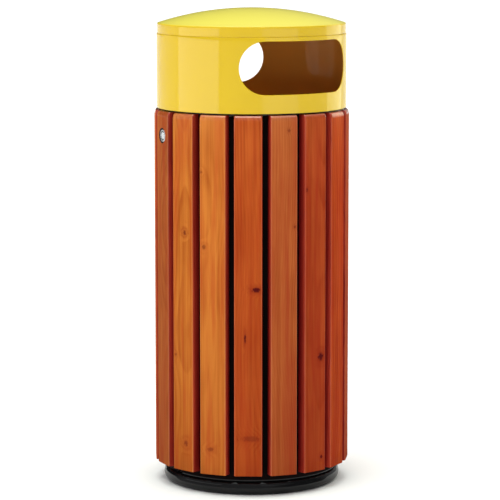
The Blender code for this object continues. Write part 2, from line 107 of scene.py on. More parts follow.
BOLT_CIRCLE, BOLT_HOLE_R = 0.161, 0.0045
PLATE_HOLE_CIRCLE, PLATE_HOLE_R = 0.100, 0.006
LOCK_BEARING = -(SPLIT + SLAT_PITCH / 2)
LOCK_Z = 0.718
LOCK_BORE_R, LOCK_BORE_IN = 0.0093, 0.160
RECESS_R, RECESS_DEEP = 0.0150, 0.0040
BAIL_Z = 0.6554
BAIL_R, BAIL_WIRE_R = 0.146, 0.003
GRIP_R, GRIP_HALF = 0.010, 0.052
GRIP_Y = sqrt(BAIL_R**2 - GRIP_HALF**2)
EAR_IN, EAR_OUT = 0.1503, 0.1528
SCREW_R, SCREW_HEAD = 0.005, 0.0026
SCREW_LOW, SCREW_MID, SCREW_TOP = 0.046, 0.400, 0.748
LOCK_SLAT_SCREW_TOP = 0.7445


# ---------------------------------------------------------------- node graphs
class Graph:
    """A material's node tree, with short calls that return the socket to link on. The bearing
    is that of the piece it covers, so that its coordinates are as at bearing 0."""

    def __init__(self, name, bearing=0.0, **sockets):
        self.bearing = bearing
        self.material = bpy.data.materials.new(name)
        self.material.use_nodes = True
        self.tree = self.material.node_tree
        self.shader = self.tree.nodes["Principled BSDF"]
        for key, value in sockets.items():
            self.shader.inputs[key.replace("_", " ")].default_value = value

    def node(self, kind, *inputs, out=0, **settings):
        made = self.tree.nodes.new(kind)
        for key, value in settings.items():
            setattr(made, key, value)
        for socket, value in inputs:
            self.put(made.inputs[socket], value)
        return made.outputs[out]

    def put(self, socket, value):
        if value is None:
            return
        if isinstance(value, bpy.types.NodeSocket):
            self.tree.links.new(value, socket)
        else:
            socket.default_value = value

    def to(self, name, value):
        self.put(self.shader.inputs[name], value)

    def place(self, shift=(0, 0, 0)):
        """Object coordinates, shifted."""
        where = self.node("ShaderNodeTexCoord", out="Object")
        if self.bearing:
            where = self.node(
                "ShaderNodeVectorRotate", ("Vector", where), ("Angle", -radians(self.bearing)),
                rotation_type="Z_AXIS",
            )
        return self.vector("ADD", where, shift)

    def noise(self, at, scale=1.0, detail=2.0, rough=0.5, out="Fac"):
        return self.node(
            "ShaderNodeTexNoise",
            ("Vector", at), ("Scale", scale), ("Detail", detail), ("Roughness", rough),
            out=out,
        )

    def math(self, operation, a, b=None, c=None):
        return self.node("ShaderNodeMath", (0, a), (1, b), (2, c), operation=operation)

    def vector(self, operation, a, b=None):
        return self.node("ShaderNodeVectorMath", (0, a), (1, b), operation=operation)

    def axes(self, vector):
        made = self.tree.nodes.new("ShaderNodeSeparateXYZ")
        self.put(made.inputs[0], vector)
        return made.outputs

    def span(self, value, low, high, to_low=0.0, to_high=1.0, smooth=False):
        return self.node(
            "ShaderNodeMapRange",
            ("Value", value), ("From Min", low), ("From Max", high),
            ("To Min", to_low), ("To Max", to_high),
            interpolation_type="SMOOTHSTEP" if smooth else "LINEAR",
        )

    def mix(self, factor, a, b):
        made = self.tree.nodes.new("ShaderNodeMix")
        made.data_type = "RGBA"
        self.put(made.inputs["Factor"], factor)
        self.put(made.inputs[6], (*a, 1) if isinstance(a, tuple) else a)
        self.put(made.inputs[7], (*b, 1) if isinstance(b, tuple) else b)
        return made.outputs[2]

    def bump(self, height, strength, distance):
        return self.node(
            "ShaderNodeBump", ("Height", height), ("Strength", strength), ("Distance", distance)
        )


def tinted(colour, factors, most=1.0):
    return tuple(min(c * k, most) for c, k in zip(colour, factors))


# ---------------------------------------------------------------- wood
RING_SPACING = 0.0042
PITH_SWAY, RING_SWAY = 0.016, 0.060  # how far noise moves the pith line, and the rings round it


def wood(name, bearing, seed, mean, pith, knots=()):
    """Stained softwood sawn from a log.

    The growth rings are distances from a pith line that wanders along the slat, so flat
    faces show arches and edges show straight lines. knots are (x, height, radius, breadth,
    darkness) on the face, and rings bend around each of them. The sawn sides and ends drink
    more stain than the planed face, and are painted darker still where shade falls, deep in
    the gaps between slats and under the hood. The arrises carry a painted highlight, and the
    colour is painted lighter near the top and darker towards the foot, for light from above.
    """
    pale = tinted(mean, (1.16, 1.26, 1.30))
    deep = tinted(mean, (0.74, 0.56, 0.50))
    g = Graph(name, bearing, Coat_Roughness=0.14, Coat_IOR=1.65, Specular_IOR_Level=0.0)
    shift = (seed * 0.37, seed * 0.61, seed * 0.83)
    at = g.place()
    x, y, z = g.axes(at)
    seeded = g.place(shift=shift)

    def grain(scale, detail=2, rough=0.5, out="Fac"):
        return g.noise(g.vector("MULTIPLY", seeded, scale), detail=detail, rough=rough, out=out)

    slow = grain((11.0, 11.0, 1.3), 1, out="Color")
    slow_x, slow_y, slow_z = g.axes(g.vector("SUBTRACT", slow, (0.5, 0.5, 0.5)))
    drift = grain((0.0, 0.0, 2.3), 1, 0.4)
    ring_x = g.math("SUBTRACT", g.math("MULTIPLY_ADD", slow_x, PITH_SWAY, x), pith[0])
    ring_y = g.math("SUBTRACT", g.math("MULTIPLY_ADD", slow_y, PITH_SWAY, y), pith[1])
    away = g.math("SQRT", g.math("ADD", g.math("POWER", ring_x, 2.0), g.math("POWER", ring_y, 2.0)))
    away = g.math("MULTIPLY_ADD", g.math("SUBTRACT", drift, 0.5), RING_SWAY, away)

    core = halo = None
    ragged = grain((330.0, 330.0, 200.0))
    for knot_x, knot_z, radius, breadth, darkness in knots:
        side = g.math("DIVIDE", g.math("SUBTRACT", x, knot_x), radius * breadth)
        side = g.math("MULTIPLY_ADD", slow_z, 1.3, side)
        side = g.math("ADD", side, g.span(ragged, 0.3, 0.7, -0.5, 0.5))
        along = g.math("DIVIDE", g.math("SUBTRACT", z, knot_z), radius)
        reach = g.math("SQRT", g.math("ADD", g.math("POWER", side, 2.0), g.math("POWER", along, 2.0)))
        near = g.span(reach, 4.5, 0.0, 0.0, 1.0, smooth=True)
        away = g.math("MULTIPLY_ADD", near, min(radius, 0.006) * 1.3, away)
        dark = g.span(reach, 1.35, 0.55, 0.0, darkness, smooth=True)
        wide = g.span(reach, 3.4, 0.5, 0.0, darkness, smooth=True)
        core = dark if core is None else g.math("MAXIMUM", core, dark)
        halo = wide if halo is None else g.math("MAXIMUM", halo, wide)

    # each growth ring darkens slowly and ends sharply
    ring = g.math("FRACT", g.math("DIVIDE", away, RING_SPACING))
    late = g.math("MULTIPLY", g.span(ring, 0.25, 0.84, smooth=True), g.span(ring, 1.0, 0.88))
    late = g.math("MULTIPLY", late, g.span(grain((30.0, 30.0, 1.2), 1), 0.3, 0.7, 0.3, 1.0))
    fibre = grain((1500.0, 1500.0, 22.0), 3, 0.6)
    dark = g.math("MULTIPLY_ADD", late, 0.46, 0.17)
    for value, low, high, least, most in (
        (grain((230.0, 230.0, 1.8), 3, 0.65), 0.36, 0.66, -0.20, 0.34),
        (grain((42.0, 42.0, 2.2)), 0.35, 0.66, -0.22, 0.30),
        (grain((16.0, 16.0, 8.0)), 0.38, 0.66, -0.16, 0.22),
        (fibre, 0.35, 0.70, -0.07, 0.16),
    ):
        dark = g.math("ADD", dark, g.span(value, low, high, least, most))
    colour = g.mix(g.node("ShaderNodeClamp", (0, dark)), pale, deep)

    # the stain runs redder in some places than in others; as painted light, the colour is painted
    # lighter and more orange near the top and darker towards the foot, for light from above
    flush = g.span(grain((60.0, 60.0, 4.0), 3, 0.6), 0.42, 0.64, 0.0, 0.70)
    colour = g.mix(flush, colour, tinted(mean, (0.90, 0.50, 0.66)))
    colour = g.mix(g.span(z, 0.60, 0.74, 0.0, 0.05), colour, (0.62, 0.24, 0.060))
    colour = g.mix(g.span(z, 0.72, 0.05, 0.0, 0.36), colour, tinted(mean, (0.44, 0.30, 0.34)))
    if core is not None:
        colour = g.mix(g.math("MULTIPLY", halo, 0.7), colour, tinted(mean, (0.62, 0.36, 0.5)))
        colour = g.mix(core, colour, (0.085, 0.0045, 0.0045))

    # sawn flanks take a deeper, redder stain, painted darker further into the gaps between slats
    # as painted shade
    inset = g.math("SUBTRACT", SLAT_WIDTH / 2, g.math("ABSOLUTE", x))
    depth = g.math("ADD", y, SLAT_FACE)
    beside = g.span(inset, 0.0024, 0.0006, smooth=True)
    flank = g.math("MULTIPLY", beside, g.span(depth, 0.0004, 0.0030, smooth=True))
    sawn = g.mix(g.span(depth, 0.003, 0.015), (0.48, 0.052, 0.026), (0.23, 0.0070, 0.010))
    sawn = g.mix(g.node("ShaderNodeClamp", (0, dark)), sawn, (0.20, 0.0090, 0.0080))
    # painted highlight: a paler, cooler band along the face's arrises, for the gloss they catch
    arris_highlight_and_lacquer = g.math("MULTIPLY", g.span(inset, 0.0030, 0.0012, smooth=True), g.span(depth, 0.0030, 0.0010))
    colour = g.mix(g.math("MULTIPLY", arris_highlight_and_lacquer, 0.34), colour, tinted(mean, (1.35, 1.5, 1.8), most=0.8))
    colour = g.mix(g.math("MULTIPLY", flank, 0.95), colour, sawn)
    # end grain takes a deeper stain at both ends; the darkening at the top end is also painted shade in
    # the gap under the hood
    ends = g.math(
        "MAXIMUM",
        g.span(z, SLAT_TOP - 0.0016, SLAT_TOP - 0.0003, 0.0, 0.8),
        g.span(z, SLAT_LOW + 0.0010, SLAT_LOW, 0.0, 0.6),
    )
    colour = g.mix(ends, colour, (0.10, 0.012, 0.006))

    # the lacquer is thickest on the rolled top end and on the arrises
    nose = g.span(z, SLAT_TOP - NOSE_HIGH, SLAT_TOP - 0.006)
    smooth = g.math("MAXIMUM", nose, g.math("MULTIPLY", arris_highlight_and_lacquer, 0.30))
    g.to("Coat Weight", g.math("MULTIPLY_ADD", smooth, 0.96, 0.04))
    g.to("Base Color", colour)
    g.to("Roughness", g.span(g.math("ADD", fibre, late), 0.3, 1.5, 0.34, 0.50))
    relief = g.math("ADD", g.math("MULTIPLY", late, 0.6), g.math("MULTIPLY", fibre, 0.5))
    g.to("Normal", g.bump(relief, 0.35, 0.00025))
    return g.material


# ---------------------------------------------------------------- coats and metals
def painted(name, colour, shade, rough, coat=0.0, gloss=0.0, dust=0.0, painted_top_light=None):
    """Stoved paint: faint orange peel, slow colour drift, dust near the ground. A second
    colour, if given, is painted on the lid's dome above its shoulder: a paler lemon, painted
    light for the light the dome catches from above."""
    g = Graph(name, Coat_Weight=coat, Coat_Roughness=0.05, Coat_IOR=1.42, Specular_IOR_Level=gloss)
    at = g.place()
    drift = g.noise(at, 5.0, 2)
    fine = g.noise(at, 420.0, 2)
    colour_now = g.mix(g.span(drift, 0.3, 0.7, 0.0, 1.0), colour, shade)
    smear = g.noise(g.vector("MULTIPLY", at, (24.0, 24.0, 9.0)), detail=4, rough=0.65)
    if dust:
        z = g.axes(at)[2]
        low = g.span(z, 0.05, 0.0, 0.0, 1.0, smooth=True)
        grit = g.math("MULTIPLY", g.span(g.noise(at, 160.0, 4, 0.7), 0.42, 0.72), low)
        colour_now = g.mix(g.math("MULTIPLY", grit, dust), colour_now, (0.20, 0.18, 0.15))
    # painted light: the dome above the shoulder is painted paler, as lit from above
    if painted_top_light:
        top = g.span(g.axes(at)[2], LID_SHOULDER, LID_SHOULDER + 0.004, smooth=True)
        colour_now = g.mix(top, colour_now, painted_top_light)
    g.to("Base Color", colour_now)
    g.to("Roughness", g.span(smear, 0.35, 0.7, rough * 0.85, rough * 1.35))
    g.to("Normal", g.bump(fine, 0.05, 0.0002))
    return g.material


def metal(name, colour, shade, rough, brushed=(1, 1, 1), spangle=0.0):
    """Bare or plated steel. Spangle gives the crystals of hot-dip zinc."""
    g = Graph(name, Metallic=1.0)
    at = g.place()
    stretch = g.vector("MULTIPLY", at, brushed)
    grain = g.noise(stretch, 900.0, 3, 0.65)
    stain = g.noise(at, 22.0, 4, 0.6)
    colour_now = g.mix(g.span(stain, 0.34, 0.7), colour, shade)
    roughness = g.span(grain, 0.3, 0.7, rough * 0.75, rough * 1.3)
    if spangle:
        wander = g.vector("MULTIPLY_ADD", g.noise(at, 60.0, 2, out="Color"), (0.012, 0.012, 0.012))
        cells = g.node(
            "ShaderNodeTexVoronoi", ("Vector", g.vector("ADD", at, wander)), ("Scale", 75.0),
            out="Color",
        )
        tone = g.axes(cells)[0]
        colour_now = g.mix(g.math("MULTIPLY", tone, spangle), colour_now, shade)
        roughness = g.math("ADD", roughness, g.span(tone, 0.0, 1.0, -0.09, 0.12))
    g.to("Base Color", colour_now)
    g.to("Roughness", roughness)
    g.to("Normal", g.bump(grain, 0.06, 0.0001))
    return g.material


def moulded(name, colour, shade, rough, grain=500.0):
    """Rubber or plastic with a fine moulded texture."""
    g = Graph(name, IOR=1.48)
    at = g.place()
    bloom = g.noise(at, 30.0, 4, 0.6)
    skin = g.noise(at, grain, 3, 0.6)
    g.to("Base Color", g.mix(g.span(bloom, 0.35, 0.7), colour, shade))
    g.to("Roughness", g.span(skin, 0.3, 0.7, rough - 0.08, rough + 0.1))
    g.to("Normal", g.bump(skin, 0.25, 0.0002))
    return g.material


YELLOW = painted(
    "yellow_coat", (0.720, 0.480, 0.012), (0.69, 0.455, 0.010), rough=0.30, coat=0.75,
    painted_top_light=(0.720, 0.636, 0.098),
)
# the hood's inner faces take a deeper orange-brown than the yellow outside: painted shade, for the
# yellow in the shadow inside the hood
INSIDE = painted(
    "hood_inside_coat", (0.68, 0.285, 0.050), (0.63, 0.257, 0.043), rough=0.40, coat=0.12
)
BLACK = painted(
    "black_coat", (0.006, 0.006, 0.0065), (0.010, 0.010, 0.011), rough=0.30, coat=0.55, gloss=0.04
)
GLOSS = painted(
    "gloss_black_coat", (0.003, 0.003, 0.0035), (0.005, 0.005, 0.006), rough=0.25, coat=0.62,
    dust=0.015,
)
MATT = painted("matt_black_coat", (0.004, 0.002, 0.002), (0.007, 0.004, 0.004), rough=0.60, gloss=0.02)
GALVANISED = metal(
    "galvanised_steel", (0.60, 0.62, 0.64), (0.42, 0.44, 0.46), rough=0.38, spangle=0.7
)
ZINC = metal(
    "zinc_steel", (0.50, 0.49, 0.46), (0.38, 0.38, 0.38), rough=0.30, brushed=(1, 1, 0.15)
)
CHROME = metal("lock_chrome", (0.66, 0.67, 0.69), (0.56, 0.58, 0.60), rough=0.12)
# near-black for the lock's counterbore: partly the deeper stain of cut end grain, partly painted shade
# in the recess
RECESS = moulded("recess_stain_and_shade", (0.016, 0.005, 0.003), (0.030, 0.008, 0.005), rough=0.60)
RUBBER = moulded("black_rubber", (0.018, 0.018, 0.018), (0.032, 0.031, 0.030), rough=0.72)
GRIP = moulded("grip_plastic", (0.020, 0.020, 0.022), (0.032, 0.032, 0.034), rough=0.46, grain=900.0)


# ---------------------------------------------------------------- mesh helpers
SHARP = 35  # degrees between faces that meet in a sharp edge


def link(name, data):
    made = bpy.data.objects.new(name, data)
    scene.collection.objects.link(made)
    return made


def finish_mesh(name, bm, coat, sharp=32.0):
    """A mesh with its normals outwards, smooth between faces that meet below an angle."""
    bmesh.ops.remove_doubles(bm, verts=bm.verts, dist=0.000002)
    bmesh.ops.recalc_face_normals(bm, faces=bm.faces)
    data = bpy.data.meshes.new(name)
    bm.to_mesh(data)
    bm.free()
    for paint in coat if isinstance(coat, (list, tuple)) else (coat,):
        data.materials.append(paint)
    data.shade_smooth()
    data.set_sharp_from_angle(angle=radians(sharp))
    return data


def stands_for(piece, node):
    """The piece moves with the node's body and is shown instead of it."""
    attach(piece, owner_of[node])
    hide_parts(node)


def fillet(points, radius, steps=4, closed=True):
    """Rounds the corners of an outline. A point may carry its own radius as a third value."""
    rounded = []
    count = len(points)
    for i, point in enumerate(points):
        here = Vector(point[:2])
        want = point[2] if len(point) > 2 else radius
        ends = not closed and i in (0, count - 1)
        if ends or want <= 0:
            rounded.append(here)
            continue
        before = Vector(points[i - 1][:2]) - here
        after = Vector(points[(i + 1) % count][:2]) - here
        angle = before.angle(after)
        cut = min(want / max(sin(angle / 2) / cos(angle / 2), 1e-6),
                  before.length * 0.49, after.length * 0.49)
        start = here + before.normalized() * cut
        stop = here + after.normalized() * cut
        for k in range(steps + 1):
            t = k / steps
            rounded.append(start * (1 - t) ** 2 + here * 2 * t * (1 - t) + stop * t**2)
    return rounded


def lathe(outline, steps=144, start=0.0, span=360.0, closed=True, sides=None, inside=None):
    """A turned shape. sides is a polygon's side count for each point, or 0 for a circle.
    inside tells from a profile edge's middle point whether its faces take the second material."""
    bm = bmesh.new()
    whole = abs(span - 360.0) < 1e-6
    columns = []
    for k in range(steps if whole else steps + 1):
        turn = radians(start + span * k / steps)
        column = []
        for i, point in enumerate(outline):
            radius = point[0]
            if sides and sides[i]:
                sector = 2 * pi / sides[i]
                off = (turn % sector) - sector / 2
                radius = radius * cos(sector / 2) / cos(off)
            column.append(bm.verts.new((radius * sin(turn), -radius * cos(turn), point[1])))
        columns.append(column)
    count = len(outline)
    edges = list(range(count if closed else count - 1))
    for k in range(steps):
        left, right = columns[k], columns[(k + 1) % len(columns)]
        for i in edges:
            j = (i + 1) % count
            ring = [left[i], right[i], right[j], left[j]]
            on_axis_i, on_axis_j = outline[i][0] < 1e-7, outline[j][0] < 1e-7
            if on_axis_i and on_axis_j:
                continue
            if on_axis_i:
                ring = [left[i], right[j], left[j]]
            elif on_axis_j:
                ring = [left[i], right[i], left[j]]
            face = bm.faces.new(ring)
            if inside:
                middle = (Vector(outline[i][:2]) + Vector(outline[j][:2])) / 2
                face.material_index = 1 if inside(middle) else 0
    if not whole:
        bm.faces.new(columns[0])
        bm.faces.new(list(reversed(columns[-1])))
    return bm


def solid_from(data, *cuts):
    """A mesh after exact Boolean cuts by other meshes, which are used up."""
    base = link("base", data)
    made = []
    for cut in cuts:
        tool = link("tool", cut)
        made.append(tool)
        step = base.modifiers.new("cut", "BOOLEAN")
        step.operation = "DIFFERENCE"
        step.solver = "EXACT"
        step.object = tool
    bpy.context.view_layer.update()
    result = bpy.data.meshes.new_from_object(base.evaluated_get(bpy.context.evaluated_depsgraph_get()))
    for leftover in made + [base]:
        bpy.data.objects.remove(leftover)
    return result


def moved(data, matrix):
    data.transform(matrix)
    return data


def shaped_piece(node, bm, coat, cuts=(), place=None):
    """Links a finished shape, cut and then moved to its place, as the one that stands for a node."""
    data = finish_mesh(f"{node}_fine", bm, coat, sharp=SHARP)
    if cuts:
        data = solid_from(data, *cuts)
        data.shade_smooth()
        data.set_sharp_from_angle(angle=radians(SHARP))
    if place is not None:
        moved(data, place)
    stands_for(link(f"{node}_fine", data), node)


def refine(node, coat, bevel=0.0004):
    """A copy of a CAD solid with its edges broken, as the real one's are."""
    bm = bmesh.new()
    bm.from_mesh(nodes[node].data)
    bmesh.ops.remove_doubles(bm, verts=bm.verts, dist=0.00002)
    bmesh.ops.dissolve_limit(
        bm, angle_limit=radians(1.0), verts=bm.verts, edges=bm.edges, use_dissolve_boundaries=False
    )
    data = finish_mesh(f"{node}_fine", bm, coat)
    piece = link(f"{node}_fine", data)
    step = piece.modifiers.new("edge", "BEVEL")
    step.width = bevel
    step.segments = 3
    step.limit_method = "ANGLE"
    step.angle_limit = radians(SHARP)
    step.harden_normals = True
    stands_for(piece, node)


# ---------------------------------------------------------------- slats
def slat_bm():
    """Rounded arrises all along, and a front face that rolls back at the top end."""
    half = SLAT_WIDTH / 2
    back = -(SLAT_FACE - SLAT_THICK)
    foot, plain, roll = 2, 24, 10  # rows on the chamfer, on the straight and on the nose
    foot_end = SLAT_LOW + FOOT_CHAMFER
    nose_start = SLAT_TOP - NOSE_HIGH
    heights = [SLAT_LOW + FOOT_CHAMFER * k / foot for k in range(foot + 1)]
    heights += [foot_end + (nose_start - foot_end) * k / plain for k in range(1, plain + 1)]
    heights += [nose_start + NOSE_HIGH * sin(pi / 2 * k / roll) for k in range(1, roll + 1)]
    bm = bmesh.new()
    rings = []
    for height in heights:
        up = max(0.0, (height - nose_start) / NOSE_HIGH)
        inset = max(0.0, foot_end - height)
        front = -SLAT_FACE + NOSE_DEEP * (1 - sqrt(max(0.0, 1 - up * up))) + inset
        rear = back - inset
        wide = half - inset
        outline = [
            (wide, front, ARRIS_R), (wide, rear, BACK_ARRIS_R),
            (-wide, rear, BACK_ARRIS_R), (-wide, front, ARRIS_R),
        ]
        ring = [bm.verts.new((p.x, p.y, height)) for p in fillet(outline, ARRIS_R, 5)]
        rings.append(ring)
    count = len(rings[0])
    for low, high in zip(rings, rings[1:]):
        for i in range(count):
            j = (i + 1) % count
            bm.faces.new([low[i], low[j], high[j], high[i]])
    bm.faces.new(list(reversed(rings[0])))
    bm.faces.new(rings[-1])
    return bm


# on each slat in view: mean colour, pith, knots (across, height, radius, breadth, darkness)
SLAT_LOOKS = {
    "door_slat_9": ((0.36, 0.087, 0.018), (0.03, -0.11), []),
    "carcass_slat_1": ((0.52, 0.150, 0.021), (0.01, -0.13),
                       [(0.007, 0.529, 0.0050, 0.8, 0.65), (-0.020, 0.279, 0.0030, 0.8, 0.45),
                        (0.0085, 0.100, 0.0065, 0.8, 0.5)]),
    "carcass_slat_2": ((0.55, 0.158, 0.024), (-0.02, -0.135),
                       [(-0.020, 0.504, 0.0045, 0.8, 0.50), (-0.005, 0.095, 0.0045, 1.3, 0.45),
                        (-0.025, 0.6535, 0.0028, 0.7, 0.45)]),
    "carcass_slat_3": ((0.46, 0.082, 0.013), (0.05, -0.12),
                       [(0.016, 0.421, 0.0048, 1.7, 1.0), (-0.006, 0.323, 0.0095, 0.16, 1.0),
                        (0.004, 0.120, 0.0060, 3.5, 0.35)]),
    "carcass_slat_4": ((0.425, 0.095, 0.022), (-0.06, -0.15),
                       [(0.022, 0.545, 0.0030, 0.8, 0.5), (0.010, 0.737, 0.0032, 0.8, 0.4)]),
    "carcass_slat_5": ((0.39, 0.057, 0.012), (0.02, -0.12),
                       [(0.015, 0.277, 0.0080, 0.75, 1.0), (0.017, 0.0715, 0.0036, 0.8, 0.9),
                        (-0.024, 0.617, 0.0040, 0.6, 0.7)]),
    "carcass_slat_6": ((0.46, 0.062, 0.0105), (0.04, -0.12), []),
}
OTHER_LOOKS = (
    (0.44, 0.092, 0.011), (0.37, 0.056, 0.008), (0.49, 0.130, 0.014), (0.41, 0.070, 0.009),
    (0.39, 0.080, 0.012),
)


def make_slats():
    for index in range(SLAT_COUNT):
        bearing = -SPLIT + SLAT_PITCH * (index + 0.5)
        fixed = index < FIXED_SLATS
        number = index + 1 if fixed else index + 1 - FIXED_SLATS
        node = f"{'carcass' if fixed else 'door'}_slat_{number}"
        spare = (
            OTHER_LOOKS[index % len(OTHER_LOOKS)],
            (0.05 * sin(index * 2.4), -0.13),
            [(0.016 * sin(index * 1.7), 0.2 + 0.03 * index, 0.0045, 0.9, 0.6)],
        )
        mean, pith, knots = SLAT_LOOKS.get(node, spare)
        coat = wood(f"wood_{node}", bearing, index + 1.0, mean, pith, knots=knots)
        data = finish_mesh(f"{node}_fine", slat_bm(), coat, sharp=50)
        if node == "door_slat_9":
            data = drilled_for_lock(data, coat)
        moved(data, Matrix.Rotation(radians(bearing), 4, "Z"))
        stands_for(link(f"{node}_fine", data), node)


def lock_axis(bearing=LOCK_BEARING):
    """Takes a turned shape's axis to the lock's, with its +Z pointing outwards."""
    lift = Matrix.Translation((0, 0, LOCK_Z)) @ Matrix.Rotation(radians(90), 4, "X")
    return Matrix.Rotation(radians(bearing), 4, "Z") @ lift


def drilled_for_lock(data, coat):
    """A counterbored recess with a broken edge, and the barrel's bore through the slat."""
    floor = SLAT_FACE - RECESS_DEEP
    broken, clear = 0.0006, SLAT_FACE + 0.01
    outline = [
        (LOCK_BORE_R, LOCK_BORE_IN), (LOCK_BORE_R, floor), (RECESS_R, floor),
        (RECESS_R, SLAT_FACE - broken), (RECESS_R + broken, SLAT_FACE), (RECESS_R + broken, clear),
        (0.0, clear), (0.0, LOCK_BORE_IN),
    ]
    # the cut faces take the near-black recess colour: deeper stain, and painted shade in the recess
    bm = lathe(outline, steps=64, closed=False, inside=lambda middle: True)
    tool = finish_mesh("lock_cut", bm, (coat, RECESS))
    moved(tool, lock_axis(0.0))
    data.materials.append(RECESS)
    result = solid_from(data, tool)
    result.set_sharp_from_angle(angle=radians(40))
    return result


make_slats()


# ---------------------------------------------------------------- hood
def hood_shell_mesh():
    """A rolled cylinder with two round-ended slots.

    Each half of the cylinder is unrolled as a rectangle around its slot. Columns of points run
    from the slot's edge out to the rectangle's, on the outer face and on the inner face, and
    the slot's edge and the top and bottom edges are rounded between the two.
    """
    low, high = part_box("hood_shell")[0].z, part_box("hood_shell")[1].z
    inner = HOOD_R - HOOD_THICK
    edge = HOOD_THICK / 2
    end_r = SLOT_HIGH / 2
    straight = SLOT_SPAN / 2 * pi / 180 * HOOD_R - end_r
    half_length = pi / 2 * HOOD_R
    mid = SLOT_MID_Z
    reach_up, reach_down = high - edge - mid, mid - low - edge
    straight_steps, round_steps = 13, 15
    rings, roll = 22, 6
    corner = 0.6  # the share of the slot's round end that looks at the rectangle's long side
    turned = 5  # the ring by which a column has turned from square off the slot to its ray
    bm = bmesh.new()

    def quarter(limit):
        """Points on the slot's outline, each with its partner on the rectangle."""
        pairs = []
        for k in range(straight_steps + 1):
            s = straight * k / straight_steps
            pairs.append(((s, end_r), (s, limit)))
        for k in range(1, round_steps + 1):
            angle = pi / 2 * k / round_steps
            t = angle / (pi / 2)
            if t <= corner:
                outer = (straight + (half_length - straight) * t / corner, limit)
            else:
                outer = (half_length, limit * (1 - t) / (1 - corner))
            pairs.append(((straight + end_r * sin(angle), end_r * cos(angle)), outer))
        return pairs

    def mirrored(pairs, across, up):
        return [((a[0] * across, a[1] * up), (b[0] * across, b[1] * up)) for a, b in pairs]

    def vert(s, z, radius, turn):
        a = s / HOOD_R + radians(turn)
        return bm.verts.new((radius * sin(a), -radius * cos(a), mid + z))

    def wall_at(near, far, turn):
        """A column's points in order, and whether it ends on the top or bottom edge."""
        (s0, z0), (s1, z1) = near, far
        if abs(s0) > straight:
            nx, nz = (abs(s0) - straight) / end_r * (1 if s0 > 0 else -1), z0 / end_r
        else:
            nx, nz = 0.0, 1.0 if z0 > 0 else -1.0
        first = edge / sqrt((s1 - s0) ** 2 + (z1 - z0) ** 2)
        column = []
        for k in range(rings + 1):
            t = first + (1 - first) * (k / rings) ** 1.5
            blend = min(1.0, k / turned)
            column.append((
                (s0 + nx * edge) * (1 - blend) + (s0 + (s1 - s0) * t) * blend,
                (z0 + nz * edge) * (1 - blend) + (z0 + (z1 - z0) * t) * blend,
            ))
        wall = [vert(s, z, HOOD_R, turn) for s, z in reversed(column)]
        for k in range(1, roll):
            a = pi * k / roll
            out = edge * (1 - sin(a))
            wall.append(vert(s0 + nx * out, z0 + nz * out, HOOD_R - edge + edge * cos(a), turn))
        wall += [vert(s, z, inner, turn) for s, z in column]
        limit, sign = (reach_up, 1) if z1 > 0 else (reach_down, -1)
        on_rim = abs(s1) < half_length - 1e-9 or abs(z1) > limit - 1e-9
        if on_rim:
            for k in range(1, roll):
                a = pi * k / roll
                wall.append(vert(s1, z1 + sign * edge * sin(a), HOOD_R - edge - edge * cos(a), turn))
        return wall, on_rim

    above, below = quarter(reach_up), quarter(reach_down)
    loop = above + mirrored(reversed(below[:-1]), 1, -1)
    loop += mirrored(below[1:], -1, -1) + mirrored(reversed(above[1:-1]), -1, 1)
    plain = 2 * (rings + 1) + roll - 1
    total = plain + roll - 1
    for turn in (SLOT_TURN, SLOT_TURN + 180):
        walls = [wall_at(near, far, turn) for near, far in loop]
        for i, (left, left_rim) in enumerate(walls):
            right, right_rim = walls[(i + 1) % len(walls)]
            for k in range(plain - 1):
                face = bm.faces.new([left[k], right[k], right[k + 1], left[k + 1]])
                face.material_index = 1 if k >= rings + roll // 2 else 0
            if left_rim and right_rim:
                for k in range(plain - 1, total):
                    after = (k + 1) % total
                    bm.faces.new([left[k], right[k], right[after], left[after]])
    return bm


def set_turned_normals(data):
    """Normals straight out from the axis on the cylinder's faces, so gloss runs true on them."""
    normals = [corner.vector.copy() for corner in data.corner_normals]
    for polygon in data.polygons:
        flat = Vector((polygon.center.x, polygon.center.y, 0)).normalized()
        facing = polygon.normal.dot(flat)
        if abs(polygon.normal.z) > 0.02 or abs(facing) < 0.995:
            continue
        sign = 1 if facing > 0 else -1
        for index in polygon.loop_indices:
            co = data.vertices[data.loops[index].vertex_index].co
            normals[index] = Vector((co.x, co.y, 0)).normalized() * sign
    data.normals_split_custom_set(normals)


def dome_points(radius, offset, count, dome_r, lift):
    """A ball's profile from its axis out to a radius. The ball is shrunk by the offset, and its
    middle is at height lift."""
    outward = [radius * i / count for i in range(count + 1)]
    return [(r, lift + sqrt((dome_r - offset) ** 2 - r**2)) for r in outward]


